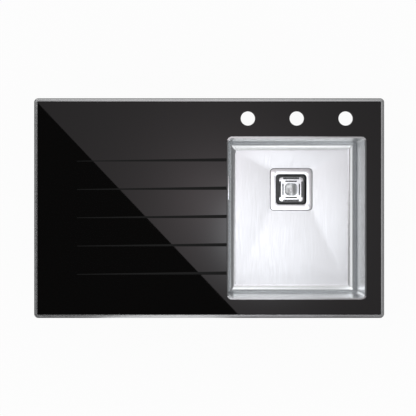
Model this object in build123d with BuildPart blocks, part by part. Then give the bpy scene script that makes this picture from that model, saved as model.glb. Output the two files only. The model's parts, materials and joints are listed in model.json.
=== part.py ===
from build123d import *
import os

os.makedirs("parts", exist_ok=True)

# Inset kitchen sink: black tempered glass bonded into a shallow steel tray, one steel bowl at
# the right, a grooved drainer at the left, three tap holes at the back and a square strainer waste.
# Millimetres. The origin is the centre of the outline at worktop level, +X right, +Y back, +Z up.

# Steel tray: the slim rim that shows, and the sunk plate that carries the glass
sink_length = 860.0
sink_width = 540.0
rim_corner_radius = 10.0
rim_height = 4.0
rim_band = 8.0
rim_bevel = 3.0
rim_edge_round = 0.5
tray_sheet = 1.0
recess_corner_radius = 2.5

# Glass plate, flush with the rim
glass_thickness = 6.0
glass_edge_gap = 1.0
glass_arris = 0.6
edge_seal_drop = 1.0
adhesive_thickness = 1.0
adhesive_bead = 10.0
adhesive_bead_rows = 4

# Opening in the glass over the bowl, and the steel ledge left showing inside it
bowl_opening_length = 343.0
bowl_opening_width = 400.0
bowl_opening_radius = 13.0
bowl_right_land = 43.5
bowl_back_land = 94.5
bowl_ledge = 3.5

# Tap holes
tap_hole_radius = 17.5
tap_hole_pitch = 120.0
tap_hole_count = 3
tap_hole_from_back = 50.0

# Drainer grooves: narrow and shallow at the far end, wide and deep where they reach the bowl
groove_count = 5
groove_pitch = 69.5
groove_reach = 368.0
groove_far_width = 1.4
groove_far_depth = 0.35
groove_near_width = 8.0
groove_near_depth = 2.0

# Bowl
bowl_depth = 200.0
bowl_sheet = 1.0
bowl_floor_radius = 20.0
bowl_flange = 10.0
floor_fall = 2.5
floor_flat_border = 2.0

# Waste: square flange in a pressed recess, square cup below it
waste_from_back_wall = 123.0
waste_flange_size = 109.0
waste_flange_radius = 10.0
waste_flange_thickness = 1.2
waste_flange_round = 0.8
waste_recess_gap = 1.5
waste_recess_depth = 2.3
waste_seal_thickness = 0.5
waste_seal_lip = 1.1
cup_opening = 79.5
cup_corner_radius = 9.0
cup_depth = 26.0
cup_wall = 1.2
cup_floor_radius = 5.0
cup_clearance = 1.05
cup_drain_holes = 8
cup_drain_hole_radius = 4.5
cup_drain_circle_radius = 17.0
screw_clearance = 0.1

# Waste body under the bowl
body_gasket_thickness = 3.0
body_gasket_inset = 2.0
body_flange_size = 110.0
body_flange_radius = 12.0
body_flange_thickness = 4.0
body_size = 98.0
body_corner_radius = 16.0
body_wall = 3.0
body_straight_depth = 26.0
body_taper_depth = 30.0
body_turn_margin = 1.0
body_cone_lift = 1.5
outlet_radius = 23.9
outlet_bore_radius = 20.0
outlet_length = 24.0
spider_height = 10.0
spider_rib = 4.0
spider_boss_radius = 7.0

# Centre screw that draws cup and body together
waste_screw_radius = 4.0
waste_screw_head_radius = 7.0
waste_screw_head_height = 2.6
waste_screw_bore_radius = 2.6
waste_screw_bore_depth = 9.0
waste_screw_below_boss = 6.0

# Basket strainer, lifted out by its knob
strainer_size = 66.0
strainer_corner_radius = 7.0
strainer_waist = 1.6
strainer_thickness = 1.2
strainer_drop = 4.5
strainer_skirt_depth = 5.0
strainer_edge_round = 1.8
outer_slot_width = 3.7
inner_slot_width = 3.2
outer_slot_length = 43.0
outer_slot_offset = 28.4
inner_slot_length = 31.0
inner_slot_offset = 21.4
knob_size = 33.0
knob_corner_radius = 12.0
knob_neck_radius = 11.0
knob_neck_height = 3.0
knob_pillow_height = 5.0
knob_dome_radius = 42.0
stem_radius = 5.0
plug_radius = 25.0
plug_thickness = 3.0
seal_radius = 26.0
seal_thickness = 3.0
seal_bore_clearance = 0.8
stem_tip_clearance = 0.1
stem_tip_length = 7.0

# Overflow in the bowl wall beside the drainer
overflow_depth = 45.0
overflow_slot_length = 50.0
overflow_slot_height = 16.0
cover_length = 64.0
cover_height = 28.0
cover_radius = 4.0
cover_thickness = 1.5
cover_slot_length = 17.0
cover_slot_height = 3.0
cover_slot_rise = 5.5
cover_slot_offset = 16.5
overflow_gasket_thickness = 3.0
housing_flange_length = 70.0
housing_flange_height = 34.0
housing_flange_thickness = 3.0
housing_length = 56.0
housing_height = 24.0
housing_depth = 32.0
housing_wall = 2.0
housing_boss_radius = 5.0
overflow_screw_radius = 2.5
overflow_screw_head_radius = 4.6
overflow_screw_head_height = 1.8
overflow_screw_grip = 16.0

# Overflow pipe, from the housing down and across to the waste body
pipe_radius = 10.0
pipe_wall = 2.0
pipe_bend_radius = 30.0
pipe_insert = 15.0
pipe_stop_gap = 0.5
pipe_clearance = 0.2
socket_wall = 2.5
socket_length = 20.0
inlet_drop = 12.0
nut_grip = 12.0
nut_lip = 2.5
nut_wall = 3.0
nut_clearance = 0.2
nut_sides = 8
pipe_seal_thickness = 2.5

# Seal between rim and worktop
rim_seal_gap = 0.3

# Fixing clips: a bracket welded under the tray, a screw that climbs, and a claw that swings
worktop_thickest = 40.0
worktop_thinnest = 28.0
claw_gap = 1.0
clip_inset = 14.0
clip_end_inset = 100.0
bracket_length = 24.0
bracket_width = 16.0
bracket_drop = 20.0
bracket_sheet = 1.5
bracket_foot = 8.0
bracket_thread_height = 2.5
bracket_thread_radius = 4.0
clip_screw_radius = 2.5
clip_screw_clearance = 0.05
clip_screw_tip_gap = 2.0
clip_screw_head_radius = 5.0
clip_screw_head_height = 3.5
clip_screw_recess_depth = 1.8
clip_screw_recess_length = 5.0
clip_screw_recess_width = 1.2
claw_reach = 34.0
claw_heel = 9.0
claw_width = 16.0
claw_sheet = 2.0
claw_rise = 8.0
claw_bend_radius = 2.0
claw_corner_radius = 4.0
claw_teeth = 3
claw_tooth_depth = 1.8
claw_bore_clearance = 0.08

# Stiffening bars and sound-deadening pads under the steel
stiffener_width = 40.0
stiffener_height = 12.0
stiffener_end_gap = 62.0
stiffener_side_gap = 142.0
stiffener_sheet = 1.2
stiffener_foot = 12.0
pad_thickness = 2.5
pad_corner_radius = 8.0
drainer_pad_side_gap = 5.0
drainer_pad_end_gap = 82.0
floor_pad_length = 170.0
floor_pad_width = 120.0
wall_pad_length = 190.0
wall_pad_height = 90.0
wall_pad_drop = 60.0
pad_margin = 8.0

# Levels, worked down from the glass
glass_top_level = rim_height
glass_bottom_level = glass_top_level - glass_thickness
plate_top_level = glass_bottom_level - adhesive_thickness
plate_bottom_level = plate_top_level - tray_sheet
floor_level = glass_top_level - bowl_depth
floor_edge_level = floor_level + floor_fall
recess_level = floor_level - waste_recess_depth
recess_underside = recess_level - bowl_sheet
cup_flange_underside = recess_level + waste_seal_thickness
cup_flange_top = cup_flange_underside + waste_flange_thickness
cup_floor_level = cup_flange_top - cup_depth
cup_underside = cup_floor_level - cup_wall
body_top_level = recess_underside - body_gasket_thickness
body_flange_underside = body_top_level - body_flange_thickness
body_taper_level = body_flange_underside - body_straight_depth
outlet_level = body_taper_level - body_taper_depth
outlet_end_level = outlet_level - outlet_length
spider_top_level = body_taper_level
spider_bottom_level = spider_top_level - spider_height

# Places in plan
glass_length = sink_length - 2 * (rim_band + glass_edge_gap)
glass_width = sink_width - 2 * (rim_band + glass_edge_gap)
glass_corner_radius = recess_corner_radius - glass_edge_gap
recess_length = sink_length - 2 * rim_band
recess_width = sink_width - 2 * rim_band
bowl_x = sink_length / 2 - bowl_right_land - bowl_opening_length / 2
bowl_y = sink_width / 2 - bowl_back_land - bowl_opening_width / 2
bowl_length = bowl_opening_length - 2 * bowl_ledge
bowl_width = bowl_opening_width - 2 * bowl_ledge
bowl_corner_radius = bowl_opening_radius - bowl_ledge
bowl_left = bowl_x - bowl_length / 2
bowl_right = bowl_x + bowl_length / 2
bowl_front = bowl_y - bowl_width / 2
bowl_back = bowl_y + bowl_width / 2
waste_x = bowl_x
waste_y = bowl_back - waste_from_back_wall
tap_hole_y = sink_width / 2 - tap_hole_from_back
tap_hole_places = [
    (bowl_x + (n - (tap_hole_count - 1) / 2) * tap_hole_pitch, tap_hole_y)
    for n in range(tap_hole_count)
]
drainer_left = -glass_length / 2
drainer_right = bowl_x - bowl_opening_length / 2
drainer_middle = (drainer_left + drainer_right) / 2
stiffener_pitch = drainer_right - drainer_left - 2 * stiffener_side_gap
stiffener_length = recess_width - 2 * stiffener_end_gap
drainer_pad_length = (
    stiffener_pitch - stiffener_width - 2 * (stiffener_foot + drainer_pad_side_gap)
)
drainer_pad_width = recess_width - 2 * drainer_pad_end_gap


def bowl_plane(level):
    """Level plane centred on the bowl."""
    return Plane(origin=(bowl_x, bowl_y, level))


def waste_plane(level):
    """Level plane centred on the waste."""
    return Plane(origin=(waste_x, waste_y, level))


def rounded_block(length, width, radius, bottom, top, bevel=0.0):
    """A plate or block with rounded corners, centred on the outline, bevelled round its top."""
    with BuildPart() as block:
        with BuildSketch(Plane.XY.offset(bottom)):
            RectangleRounded(length, width, radius)
        extrude(amount=top - bottom)
        if bevel:
            chamfer(block.edges().group_by(Axis.Z)[-1], bevel)
    return block.part


def rounded_ring(length, width, radius, band, bottom, top):
    """A frame with rounded corners: its outer size, and the width of its band."""
    inner_radius = max(radius - band, 0.5)
    with BuildPart() as ring:
        with BuildSketch(Plane.XY.offset(bottom)):
            RectangleRounded(length, width, radius)
            RectangleRounded(length - 2 * band, width - 2 * band, inner_radius, mode=Mode.SUBTRACT)
        extrude(amount=top - bottom)
    return ring.part


# Steel tray
rim_hollow_bevel = rim_bevel - tray_sheet * (2 - 2**0.5)
rim_hollow = rounded_block(
    sink_length - 2 * tray_sheet,
    sink_width - 2 * tray_sheet,
    rim_corner_radius - tray_sheet,
    0,
    rim_height - tray_sheet,
    rim_hollow_bevel,
)
tray_well = rounded_block(
    recess_length + 2 * tray_sheet,
    recess_width + 2 * tray_sheet,
    recess_corner_radius + tray_sheet,
    plate_bottom_level,
    rim_height,
)
with BuildPart() as steel_tray:
    with BuildSketch():
        RectangleRounded(sink_length, sink_width, rim_corner_radius)
    extrude(amount=rim_height)
    chamfer(steel_tray.edges().group_by(Axis.Z)[-1], rim_bevel)
    fillet(steel_tray.edges().group_by(Axis.Z)[-1], rim_edge_round)
    add(rim_hollow, mode=Mode.SUBTRACT)
    add(tray_well)
    with BuildSketch(Plane.XY.offset(plate_top_level)):
        RectangleRounded(recess_length, recess_width, recess_corner_radius)
    extrude(amount=rim_height - plate_top_level, mode=Mode.SUBTRACT)
    with BuildSketch(Plane.XY.offset(plate_bottom_level)):
        with Locations((bowl_x, bowl_y)):
            RectangleRounded(bowl_length, bowl_width, bowl_corner_radius)
        with Locations(*tap_hole_places):
            Circle(tap_hole_radius)
    extrude(amount=tray_sheet, mode=Mode.SUBTRACT)
steel_tray.part.label = "steel_tray"
export_step(steel_tray.part, "parts/steel_tray.step")


# Glass plate with its opening, tap holes and drainer grooves
def groove_section(distance, floor_line, width, depth):
    """Groove profile across the drainer: steep at the front, sloping up towards the back."""
    with BuildSketch(Plane.YZ.offset(distance)) as section:
        with BuildLine():
            Polyline(
                (floor_line, glass_top_level),
                (floor_line, glass_top_level - depth),
                (floor_line + width, glass_top_level),
                close=True,
            )
        make_face()
    return section.sketch


groove_lines = [bowl_y + (n - (groove_count - 1) / 2) * groove_pitch for n in range(groove_count)]
with BuildPart() as glass_top:
    with BuildSketch(Plane.XY.offset(glass_bottom_level)):
        RectangleRounded(glass_length, glass_width, glass_corner_radius)
        with Locations((bowl_x, bowl_y)):
            RectangleRounded(
                bowl_opening_length, bowl_opening_width, bowl_opening_radius, mode=Mode.SUBTRACT
            )
        with Locations(*tap_hole_places):
            Circle(tap_hole_radius, mode=Mode.SUBTRACT)
    extrude(amount=glass_thickness)
    top_edges = glass_top.edges().group_by(Axis.Z)[-1]
    tap_edges = top_edges.filter_by(lambda edge: edge.is_closed)
    chamfer(top_edges - tap_edges, glass_arris)
    for floor_line in groove_lines:
        far_end = groove_section(
            drainer_right - groove_reach, floor_line, groove_far_width, groove_far_depth
        )
        near_end = groove_section(drainer_right, floor_line, groove_near_width, groove_near_depth)
        loft(sections=[far_end, near_end], ruled=True, mode=Mode.SUBTRACT)
glass_top.part.label = "glass_top"
export_step(glass_top.part, "parts/glass_top.step")


# Adhesive between tray and glass: a bead round the edge, one round the bowl, one round each tap
# hole, and rows under the drainer
bead_row_pitch = (drainer_right - drainer_left) / (adhesive_bead_rows + 1)
bead_row_length = glass_width - 6 * adhesive_bead
with BuildPart() as glass_adhesive:
    add(
        rounded_ring(
            glass_length,
            glass_width,
            glass_corner_radius,
            adhesive_bead,
            plate_top_level,
            glass_bottom_level,
        )
    )
    with BuildSketch(Plane.XY.offset(plate_top_level)):
        with Locations((bowl_x, bowl_y)):
            RectangleRounded(
                bowl_opening_length + 2 * adhesive_bead,
                bowl_opening_width + 2 * adhesive_bead,
                bowl_opening_radius + adhesive_bead,
            )
            RectangleRounded(
                bowl_opening_length, bowl_opening_width, bowl_opening_radius, mode=Mode.SUBTRACT
            )
        with Locations(*tap_hole_places):
            Circle(tap_hole_radius + adhesive_bead)
            Circle(tap_hole_radius, mode=Mode.SUBTRACT)
        with Locations((drainer_middle, 0)):
            with GridLocations(bead_row_pitch, 1, adhesive_bead_rows, 1):
                Rectangle(adhesive_bead, bead_row_length)
    extrude(amount=adhesive_thickness)
    with BuildSketch(Plane.XY.offset(plate_top_level)):
        RectangleRounded(glass_length, glass_width, glass_corner_radius)
    extrude(amount=adhesive_thickness, mode=Mode.INTERSECT)
glass_adhesive.part.label = "glass_adhesive"
export_step(glass_adhesive.part, "parts/glass_adhesive.step")

# Black joint that fills the gap between the glass edge and the rim
glass_edge_seal = rounded_ring(
    recess_length,
    recess_width,
    recess_corner_radius,
    glass_edge_gap,
    plate_top_level,
    glass_top_level - edge_seal_drop,
)
glass_edge_seal.label = "glass_edge_seal"
export_step(glass_edge_seal, "parts/glass_edge_seal.step")

# Foam seal pressed on to the worktop under the rim, as wide as the hollow of the bevelled rim
rim_seal_width = rim_band - 2 * (tray_sheet + rim_seal_gap) - rim_hollow_bevel
rim_seal_length = recess_length + 2 * (tray_sheet + rim_seal_gap + rim_seal_width)
rim_seal_breadth = recess_width + 2 * (tray_sheet + rim_seal_gap + rim_seal_width)
rim_seal = rounded_ring(
    rim_seal_length,
    rim_seal_breadth,
    recess_corner_radius + tray_sheet + rim_seal_gap + rim_seal_width,
    rim_seal_width,
    0,
    rim_height - tray_sheet,
)
rim_seal.label = "rim_seal"
export_step(rim_seal, "parts/rim_seal.step")


# Bowl
def bowl_form(wall, top):
    """Solid shape of the bowl's inside grown outwards by a wall: straight sides, a rounded foot,
    falls that lead to the waste and the square recess pressed for its flange."""
    length = bowl_length + 2 * wall
    width = bowl_width + 2 * wall
    foot_radius = bowl_floor_radius + wall
    recess_size = waste_flange_size + 2 * (waste_recess_gap + wall)
    flat_length = length - 2 * (foot_radius + floor_flat_border)
    flat_width = width - 2 * (foot_radius + floor_flat_border)
    with BuildPart() as form:
        with BuildSketch(bowl_plane(floor_edge_level - wall)):
            Rectangle(length, width)
        extrude(amount=top - floor_edge_level + wall)
        fillet(form.edges().group_by(Axis.Z)[0], foot_radius)
        corner_edges = form.edges().filter_by(
            lambda edge: edge.geom_type != GeomType.LINE or abs(edge.tangent_at(0).Z) > 0.5
        )
        fillet(corner_edges, bowl_corner_radius + wall)
        with BuildSketch(bowl_plane(floor_edge_level - wall)) as flat_floor:
            RectangleRounded(flat_length, flat_width, bowl_corner_radius)
        with BuildSketch(waste_plane(floor_level - wall)) as recess_mouth:
            RectangleRounded(recess_size, recess_size, waste_flange_radius + wall)
        loft(sections=[flat_floor.sketch, recess_mouth.sketch], ruled=True)
        with BuildSketch(waste_plane(recess_level - wall)):
            RectangleRounded(recess_size, recess_size, waste_flange_radius + wall)
        extrude(amount=waste_recess_depth)
    return form.part


bowl_outside = bowl_form(bowl_sheet, plate_bottom_level)
bowl_inside = bowl_form(0, plate_bottom_level)
overflow_level = glass_top_level - overflow_depth
cup_size = cup_opening + 2 * cup_wall
cup_radius = cup_corner_radius + cup_wall
with BuildPart() as bowl:
    add(bowl_outside)
    with BuildSketch(bowl_plane(plate_bottom_level - bowl_sheet)):
        RectangleRounded(
            bowl_length + 2 * bowl_flange,
            bowl_width + 2 * bowl_flange,
            bowl_corner_radius + bowl_flange,
        )
    extrude(amount=bowl_sheet)
    add(bowl_inside, mode=Mode.SUBTRACT)
    with BuildSketch(waste_plane(recess_underside)):
        RectangleRounded(
            cup_size + 2 * cup_clearance, cup_size + 2 * cup_clearance, cup_radius + cup_clearance
        )
    extrude(amount=bowl_sheet, mode=Mode.SUBTRACT)
    with BuildSketch(Plane.YZ.offset(bowl_left - bowl_sheet)):
        with Locations((waste_y, overflow_level)):
            SlotOverall(overflow_slot_length, overflow_slot_height)
    extrude(amount=bowl_sheet, mode=Mode.SUBTRACT)
bowl.part.label = "bowl"
export_step(bowl.part, "parts/bowl.step")

# Waste cup: flange and square sump pressed from one sheet, with drain holes in its floor
with BuildPart() as cup_inside:
    with BuildSketch(waste_plane(cup_floor_level)):
        RectangleRounded(cup_opening, cup_opening, cup_corner_radius)
    extrude(amount=cup_depth)
    fillet(cup_inside.edges().group_by(Axis.Z)[0], cup_floor_radius)
with BuildPart() as waste_cup:
    with BuildSketch(waste_plane(cup_underside)):
        RectangleRounded(cup_size, cup_size, cup_radius)
    extrude(amount=cup_depth + cup_wall)
    fillet(waste_cup.edges().group_by(Axis.Z)[0], cup_floor_radius + cup_wall)
    with BuildSketch(waste_plane(cup_flange_underside)):
        RectangleRounded(waste_flange_size, waste_flange_size, waste_flange_radius)
    extrude(amount=waste_flange_thickness)
    fillet(waste_cup.edges().group_by(Axis.Z)[-1], waste_flange_round)
    add(cup_inside.part, mode=Mode.SUBTRACT)
    with BuildSketch(waste_plane(cup_underside)):
        Circle(waste_screw_radius + screw_clearance)
        with PolarLocations(cup_drain_circle_radius, cup_drain_holes):
            Circle(cup_drain_hole_radius)
    extrude(amount=cup_wall, mode=Mode.SUBTRACT)
    mouth_edges = waste_cup.edges().group_by(Axis.Z)[-1].filter_by(
        lambda edge: abs(edge.center().X - waste_x) < cup_size / 2
        and abs(edge.center().Y - waste_y) < cup_size / 2
    )
    fillet(mouth_edges, waste_flange_round)
waste_cup.part.label = "waste_cup"
export_step(waste_cup.part, "parts/waste_cup.step")


def square_washer(size, radius, hole_size, hole_radius, bottom, thickness):
    """Flat seal with a square hole, centred on the waste."""
    with BuildPart() as washer:
        with BuildSketch(waste_plane(bottom)):
            RectangleRounded(size, size, radius)
            RectangleRounded(hole_size, hole_size, hole_radius, mode=Mode.SUBTRACT)
        extrude(amount=thickness)
    return washer.part


waste_flange_seal = square_washer(
    waste_flange_size + 2 * waste_seal_lip,
    waste_flange_radius + waste_seal_lip,
    cup_size + 2 * cup_clearance,
    cup_radius + cup_clearance,
    recess_level,
    waste_seal_thickness,
)
waste_flange_seal.label = "waste_flange_seal"
export_step(waste_flange_seal, "parts/waste_flange_seal.step")

body_gasket = square_washer(
    body_flange_size - 2 * body_gasket_inset,
    body_flange_radius - body_gasket_inset,
    cup_size + 2 * cup_clearance,
    cup_radius + cup_clearance,
    body_top_level,
    body_gasket_thickness,
)
body_gasket.label = "body_gasket"
export_step(body_gasket, "parts/body_gasket.step")


# Waste body: a square box whose foot is turned to a cone, the round outlet and a side inlet
def funnel_form(inset, neck_radius, lift):
    """Solid shape of the waste body below its flange: drawn in by an inset, its cone lifted."""
    size = body_size - 2 * inset
    corner_radius = body_corner_radius - inset
    corner_reach = (size / 2 - corner_radius) * 2**0.5 + corner_radius
    cone_radius = corner_reach + body_turn_margin
    with BuildPart() as funnel:
        with BuildSketch(Plane(origin=(waste_x, waste_y, 0), x_dir=(1, 0, 0), z_dir=(0, -1, 0))):
            with BuildLine():
                Polyline(
                    (0, outlet_end_level),
                    (neck_radius, outlet_end_level),
                    (neck_radius, outlet_level + lift),
                    (cone_radius, body_taper_level + lift),
                    (cone_radius, body_flange_underside),
                    (0, body_flange_underside),
                    close=True,
                )
            make_face()
        revolve(axis=Axis((waste_x, waste_y, 0), (0, 0, 1)))
        with BuildSketch(waste_plane(outlet_end_level)):
            RectangleRounded(size, size, corner_radius)
        extrude(amount=body_flange_underside - outlet_end_level, mode=Mode.INTERSECT)
    return funnel.part


inlet_level = body_flange_underside - inlet_drop
socket_bore = pipe_radius + pipe_clearance
socket_radius = socket_bore + socket_wall
inlet_mouth_x = waste_x - body_size / 2 - socket_length
funnel_outside = funnel_form(0, outlet_radius, 0)
funnel_inside = funnel_form(body_wall, outlet_bore_radius, body_cone_lift)
with BuildPart() as waste_spider:
    with BuildSketch(waste_plane(spider_bottom_level)):
        Rectangle(body_size, spider_rib)
        Rectangle(spider_rib, body_size)
        Circle(spider_boss_radius)
    extrude(amount=spider_height)
    add(funnel_outside, mode=Mode.INTERSECT)
with BuildPart() as waste_body:
    add(funnel_outside)
    with BuildSketch(waste_plane(body_flange_underside)):
        RectangleRounded(body_flange_size, body_flange_size, body_flange_radius)
    extrude(amount=body_flange_thickness)
    with BuildSketch(Plane.YZ.offset(inlet_mouth_x)):
        with Locations((waste_y, inlet_level)):
            Circle(socket_radius)
    extrude(amount=socket_length + body_wall)
    add(funnel_inside, mode=Mode.SUBTRACT)
    with BuildSketch(waste_plane(body_flange_underside)):
        RectangleRounded(
            body_size - 2 * body_wall, body_size - 2 * body_wall, body_corner_radius - body_wall
        )
    extrude(amount=body_flange_thickness, mode=Mode.SUBTRACT)
    with BuildSketch(Plane.YZ.offset(inlet_mouth_x)):
        with Locations((waste_y, inlet_level)):
            Circle(socket_bore)
    extrude(amount=socket_length, mode=Mode.SUBTRACT)
    with BuildSketch(Plane.YZ.offset(inlet_mouth_x)):
        with Locations((waste_y, inlet_level)):
            Circle(pipe_radius - pipe_wall)
    extrude(amount=socket_length + body_wall, mode=Mode.SUBTRACT)
    add(waste_spider.part)
    with BuildSketch(waste_plane(spider_bottom_level)):
        Circle(waste_screw_radius + screw_clearance)
    extrude(amount=spider_height, mode=Mode.SUBTRACT)
waste_body.part.label = "waste_body"
export_step(waste_body.part, "parts/waste_body.step")

# Centre screw with a hollow head that guides the strainer's stem
waste_screw_end = spider_bottom_level - waste_screw_below_boss
with BuildPart() as waste_screw:
    with BuildSketch(waste_plane(waste_screw_end)):
        Circle(waste_screw_radius)
    extrude(amount=cup_floor_level - waste_screw_end)
    with BuildSketch(waste_plane(cup_floor_level)):
        Circle(waste_screw_head_radius)
    extrude(amount=waste_screw_head_height)
    with BuildSketch(waste_plane(cup_floor_level + waste_screw_head_height)):
        Circle(waste_screw_bore_radius)
    extrude(amount=-waste_screw_bore_depth, mode=Mode.SUBTRACT)
waste_screw.part.label = "waste_screw"
export_step(waste_screw.part, "parts/waste_screw.step")


# Strainer plate: a square dish with drawn-in sides, two rings of slots and a short skirt
def strainer_outline(level, inset):
    """Outline of the strainer: a square whose sides draw in at the middle, with round corners."""
    half = strainer_size / 2 - inset
    with BuildSketch(waste_plane(level)) as outline:
        with BuildLine():
            for turn in range(4):
                side = Rotation(0, 0, 90 * turn)
                ThreePointArc(
                    (side * Pos(half, -half)).position,
                    (side * Pos(half - strainer_waist, 0)).position,
                    (side * Pos(half, half)).position,
                )
        make_face()
        fillet(outline.vertices(), strainer_corner_radius - inset)
    return outline.sketch


strainer_top = cup_flange_top - strainer_drop
strainer_underside = strainer_top - strainer_thickness
skirt_bottom = strainer_underside - strainer_skirt_depth
with BuildPart() as strainer_plate:
    add(strainer_outline(skirt_bottom, 0))
    extrude(amount=strainer_skirt_depth + strainer_thickness)
    fillet(strainer_plate.edges().group_by(Axis.Z)[-1], strainer_edge_round)
    add(strainer_outline(skirt_bottom, strainer_thickness))
    extrude(amount=strainer_skirt_depth, mode=Mode.SUBTRACT)
    with BuildSketch(waste_plane(strainer_underside)):
        with PolarLocations(outer_slot_offset, 4):
            SlotOverall(outer_slot_length, outer_slot_width, rotation=90)
        with PolarLocations(inner_slot_offset, 4):
            SlotOverall(inner_slot_length, inner_slot_width, rotation=90)
    extrude(amount=strainer_thickness, mode=Mode.SUBTRACT)
strainer_plate.part.label = "strainer_plate"
export_step(strainer_plate.part, "parts/strainer_plate.step")

# Knob: a square pillow with a domed top, on a neck that fingers reach under
knob_underside = strainer_top + knob_neck_height
knob_top = knob_underside + knob_pillow_height
with BuildPart() as strainer_knob:
    with BuildSketch(waste_plane(strainer_top)):
        Circle(knob_neck_radius)
    extrude(amount=knob_neck_height)
    with BuildSketch(waste_plane(knob_underside)):
        RectangleRounded(knob_size, knob_size, knob_corner_radius)
    extrude(amount=knob_pillow_height)
    with Locations((waste_x, waste_y, knob_top - knob_dome_radius)):
        Sphere(knob_dome_radius, mode=Mode.INTERSECT)
strainer_knob.part.label = "strainer_knob"
export_step(strainer_knob.part, "parts/strainer_knob.step")

# Stem with the disc that presses the plug's seal on to the cup floor
seal_top = cup_floor_level + seal_thickness
plug_top = seal_top + plug_thickness
with BuildPart() as strainer_stem:
    with BuildSketch(waste_plane(seal_top)):
        Circle(plug_radius)
    extrude(amount=plug_thickness)
    with BuildSketch(waste_plane(plug_top)):
        Circle(stem_radius)
    extrude(amount=strainer_underside - plug_top)
    with BuildSketch(waste_plane(seal_top - stem_tip_length)):
        Circle(waste_screw_bore_radius - stem_tip_clearance)
    extrude(amount=stem_tip_length)
strainer_stem.part.label = "strainer_stem"
export_step(strainer_stem.part, "parts/strainer_stem.step")

# Rubber ring under the disc, round the head of the centre screw
with BuildPart() as strainer_seal:
    with BuildSketch(waste_plane(cup_floor_level)):
        Circle(seal_radius)
        Circle(waste_screw_head_radius + seal_bore_clearance, mode=Mode.SUBTRACT)
    extrude(amount=seal_thickness)
strainer_seal.part.label = "strainer_seal"
export_step(strainer_seal.part, "parts/strainer_seal.step")

# Overflow: cover inside the bowl, gasket and housing outside it, one screw through all
wall_outside = bowl_left - bowl_sheet
gasket_face = wall_outside - overflow_gasket_thickness
housing_back = gasket_face - housing_depth


def overflow_plane(distance):
    """Upright plane across the overflow at a distance along X."""
    return Plane(origin=(distance, waste_y, overflow_level), x_dir=(0, 1, 0), z_dir=(1, 0, 0))


with BuildPart() as overflow_cover:
    with BuildSketch(overflow_plane(bowl_left)):
        RectangleRounded(cover_length, cover_height, cover_radius)
        with GridLocations(2 * cover_slot_offset, 2 * cover_slot_rise, 2, 2):
            SlotOverall(cover_slot_length, cover_slot_height, mode=Mode.SUBTRACT)
        Circle(overflow_screw_radius + screw_clearance, mode=Mode.SUBTRACT)
    extrude(amount=cover_thickness)
overflow_cover.part.label = "overflow_cover"
export_step(overflow_cover.part, "parts/overflow_cover.step")

with BuildPart() as overflow_gasket:
    with BuildSketch(overflow_plane(gasket_face)):
        RectangleRounded(housing_flange_length, housing_flange_height, cover_radius)
        SlotOverall(overflow_slot_length, overflow_slot_height, mode=Mode.SUBTRACT)
    extrude(amount=overflow_gasket_thickness)
overflow_gasket.part.label = "overflow_gasket"
export_step(overflow_gasket.part, "parts/overflow_gasket.step")

pipe_x = gasket_face - housing_depth / 2
housing_floor = overflow_level - housing_height / 2
upper_socket_end = housing_floor - socket_length
with BuildPart() as overflow_housing:
    with BuildSketch(overflow_plane(housing_back)):
        RectangleRounded(housing_length, housing_height, cover_radius)
    extrude(amount=housing_depth)
    with BuildSketch(overflow_plane(gasket_face - housing_flange_thickness)):
        RectangleRounded(housing_flange_length, housing_flange_height, cover_radius)
    extrude(amount=housing_flange_thickness)
    with BuildSketch(Plane(origin=(pipe_x, waste_y, upper_socket_end))):
        Circle(socket_radius)
    extrude(amount=socket_length + housing_wall)
    with BuildSketch(overflow_plane(housing_back + housing_wall)):
        RectangleRounded(
            housing_length - 2 * housing_wall,
            housing_height - 2 * housing_wall,
            cover_radius - housing_wall,
        )
    extrude(amount=housing_depth - housing_wall, mode=Mode.SUBTRACT)
    with BuildSketch(overflow_plane(housing_back)):
        Circle(housing_boss_radius)
    extrude(amount=bowl_left - housing_back)
    with BuildSketch(overflow_plane(bowl_left)):
        Circle(overflow_screw_radius + screw_clearance)
    extrude(amount=-overflow_screw_grip - screw_clearance, mode=Mode.SUBTRACT)
    with BuildSketch(Plane(origin=(pipe_x, waste_y, upper_socket_end))):
        Circle(socket_bore)
    extrude(amount=pipe_insert + pipe_stop_gap, mode=Mode.SUBTRACT)
    with BuildSketch(Plane(origin=(pipe_x, waste_y, upper_socket_end))):
        Circle(pipe_radius - pipe_wall)
    extrude(amount=socket_length + housing_wall, mode=Mode.SUBTRACT)
overflow_housing.part.label = "overflow_housing"
export_step(overflow_housing.part, "parts/overflow_housing.step")

with BuildPart() as overflow_screw:
    with BuildSketch(overflow_plane(bowl_left + cover_thickness)):
        Circle(overflow_screw_head_radius)
    extrude(amount=overflow_screw_head_height)
    chamfer(overflow_screw.edges().group_by(Axis.X)[-1], overflow_screw_head_height / 2)
    with BuildSketch(overflow_plane(bowl_left - overflow_screw_grip)):
        Circle(overflow_screw_radius)
    extrude(amount=overflow_screw_grip + cover_thickness)
overflow_screw.part.label = "overflow_screw"
export_step(overflow_screw.part, "parts/overflow_screw.step")

# Overflow pipe: one bend between the housing's socket and the inlet of the waste body
pipe_top = upper_socket_end + pipe_insert
pipe_end_x = inlet_mouth_x + pipe_insert
with BuildPart() as overflow_pipe:
    with BuildLine() as pipe_route:
        FilletPolyline(
            (pipe_x, waste_y, pipe_top),
            (pipe_x, waste_y, inlet_level),
            (pipe_end_x, waste_y, inlet_level),
            radius=pipe_bend_radius,
        )
    with BuildSketch(Plane(origin=(pipe_x, waste_y, pipe_top), z_dir=(0, 0, -1))):
        Circle(pipe_radius)
        Circle(pipe_radius - pipe_wall, mode=Mode.SUBTRACT)
    sweep(path=pipe_route.line)
overflow_pipe.part.label = "overflow_pipe"
export_step(overflow_pipe.part, "parts/overflow_pipe.step")


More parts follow.
